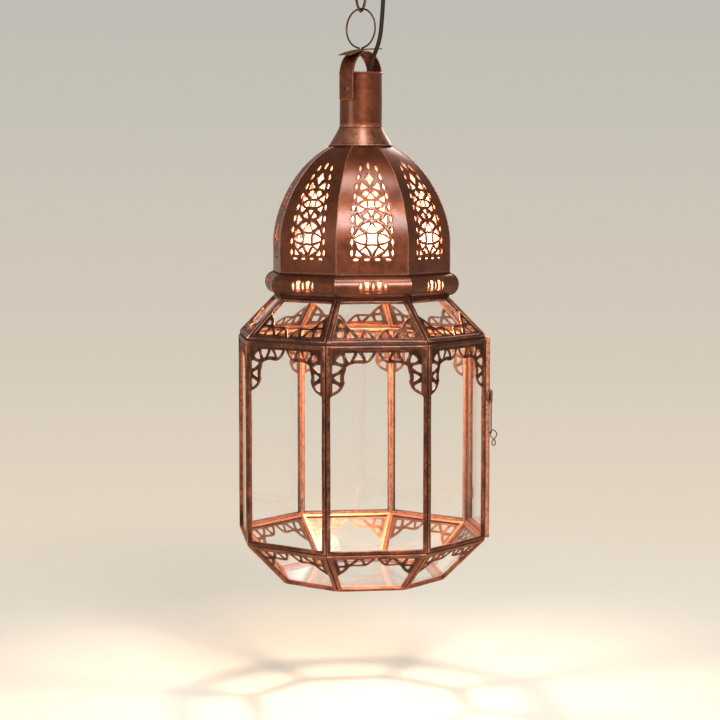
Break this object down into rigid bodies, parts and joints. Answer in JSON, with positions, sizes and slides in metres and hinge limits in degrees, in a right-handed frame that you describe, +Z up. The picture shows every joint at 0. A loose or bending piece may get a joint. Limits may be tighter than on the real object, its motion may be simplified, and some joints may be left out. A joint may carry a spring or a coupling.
{
  "type": "hanging lantern",
  "caption": "Eight-sided hanging lantern of aged copper and clear glass with a pierced dome, lace corners and a hinged door, on a ring, link and ceiling hook.",
  "frame": {"origin": "centre of the ceiling plate's top face, on the ceiling plane, on the lantern's axis", "axes": "+Z up to the ceiling; -Y out of the front face; +X out of the door"},
  "size_m": [0.2617, 0.2494, 0.6788],
  "materials": {
    "copper": "aged, satin, dark in the recesses",
    "dark_copper": "aged, dark patina with worn bright edges",
    "bronze": "dark bronze, satin",
    "clear_glass": "clear, polished",
    "opal_glass": "opal, lit warm white",
    "cap_metal": "bright, threaded",
    "ceramic": "glazed off-white",
    "cable": "dark brown sheath, satin"
  },
  "bodies": {
    "ceiling": {"ceiling_plate": "bronze", "ceiling_canopy": "dark_copper", "ceiling_hook": "bronze", "cord_grip": "cable"},
    "link": {"chain_link": "bronze"},
    "ring": {"hanging_ring": "bronze", "cord": "cable"},
    "lantern": {"bail_strap": "copper", "bail_cover_strip": "copper", "bail_rivet_back": "bronze", "bail_rivet_front": "bronze", "neck_tube": "copper", "neck_collar": "copper", "cornice_moulding": "copper", "roof_frame": "dark_copper", "body_frame": "dark_copper", "base_frame": "dark_copper", "floor_pane": "clear_glass", "door_hinge_pin_lower": "bronze", "door_hinge_pin_upper": "bronze", "holder_bridge": "dark_copper", "lampholder": "ceramic", "dome_panel_0": "copper", "dome_panel_1": "copper", "dome_panel_2": "copper", "dome_panel_3": "copper", "dome_panel_4": "copper", "dome_panel_5": "copper", "dome_panel_6": "copper", "dome_panel_7": "copper", "roof_pane_0": "clear_glass", "roof_pane_1": "clear_glass", "roof_pane_2": "clear_glass", "roof_pane_3": "clear_glass", "roof_pane_4": "clear_glass", "roof_pane_5": "clear_glass", "roof_pane_6": "clear_glass", "roof_pane_7": "clear_glass", "base_pane_0": "clear_glass", "base_pane_1": "clear_glass", "base_pane_2": "clear_glass", "base_pane_3": "clear_glass", "base_pane_4": "clear_glass", "base_pane_5": "clear_glass", "base_pane_6": "clear_glass", "base_pane_7": "clear_glass", "body_pane_0": "clear_glass", "body_pane_1": "clear_glass", "body_pane_3": "clear_glass", "body_pane_4": "clear_glass", "body_pane_5": "clear_glass", "body_pane_6": "clear_glass", "body_pane_7": "clear_glass"},
    "door": {"door_frame": "dark_copper", "door_pane": "clear_glass", "latch_clip": "dark_copper"},
    "pull": {"latch_pull_loop": "bronze"},
    "bulb": {"bulb_cap": "cap_metal", "bulb_glass": "opal_glass"}
  },
  "joints": [
    {"name": "link_swing", "type": "hinge", "parent": "ceiling", "child": "link", "pos_m": [0, 0, -0.05325], "axis": [0.6018, -0.7986, 0], "range_deg": [-15, 15], "deforming": ["cord"]},
    {"name": "ring_swing", "type": "hinge", "parent": "link", "child": "ring", "pos_m": [0, 0, -0.08355], "axis": [0.7986, 0.6018, 0], "range_deg": [-15, 15], "deforming": ["cord"]},
    {"name": "lantern_turn", "type": "hinge", "parent": "ring", "child": "lantern", "pos_m": [0, 0, -0.126], "axis": [0, 0, 1], "range_deg": [-45, 35]},
    {"name": "door_swing", "type": "hinge", "parent": "lantern", "child": "door", "pos_m": [0.12712, 0.0535, -0.52665], "axis": [0, 0, 1], "range_deg": [0, 110]},
    {"name": "pull_swing", "type": "hinge", "parent": "door", "child": "pull", "pos_m": [0.13122, -0.0472, -0.5194], "axis": [1, 0, 0], "range_deg": [-60, 60]},
    {"name": "bulb_draw", "type": "slide", "parent": "lantern", "child": "bulb", "axis": [0, 0, -1], "range_m": [0, 0.028]}
  ]
}
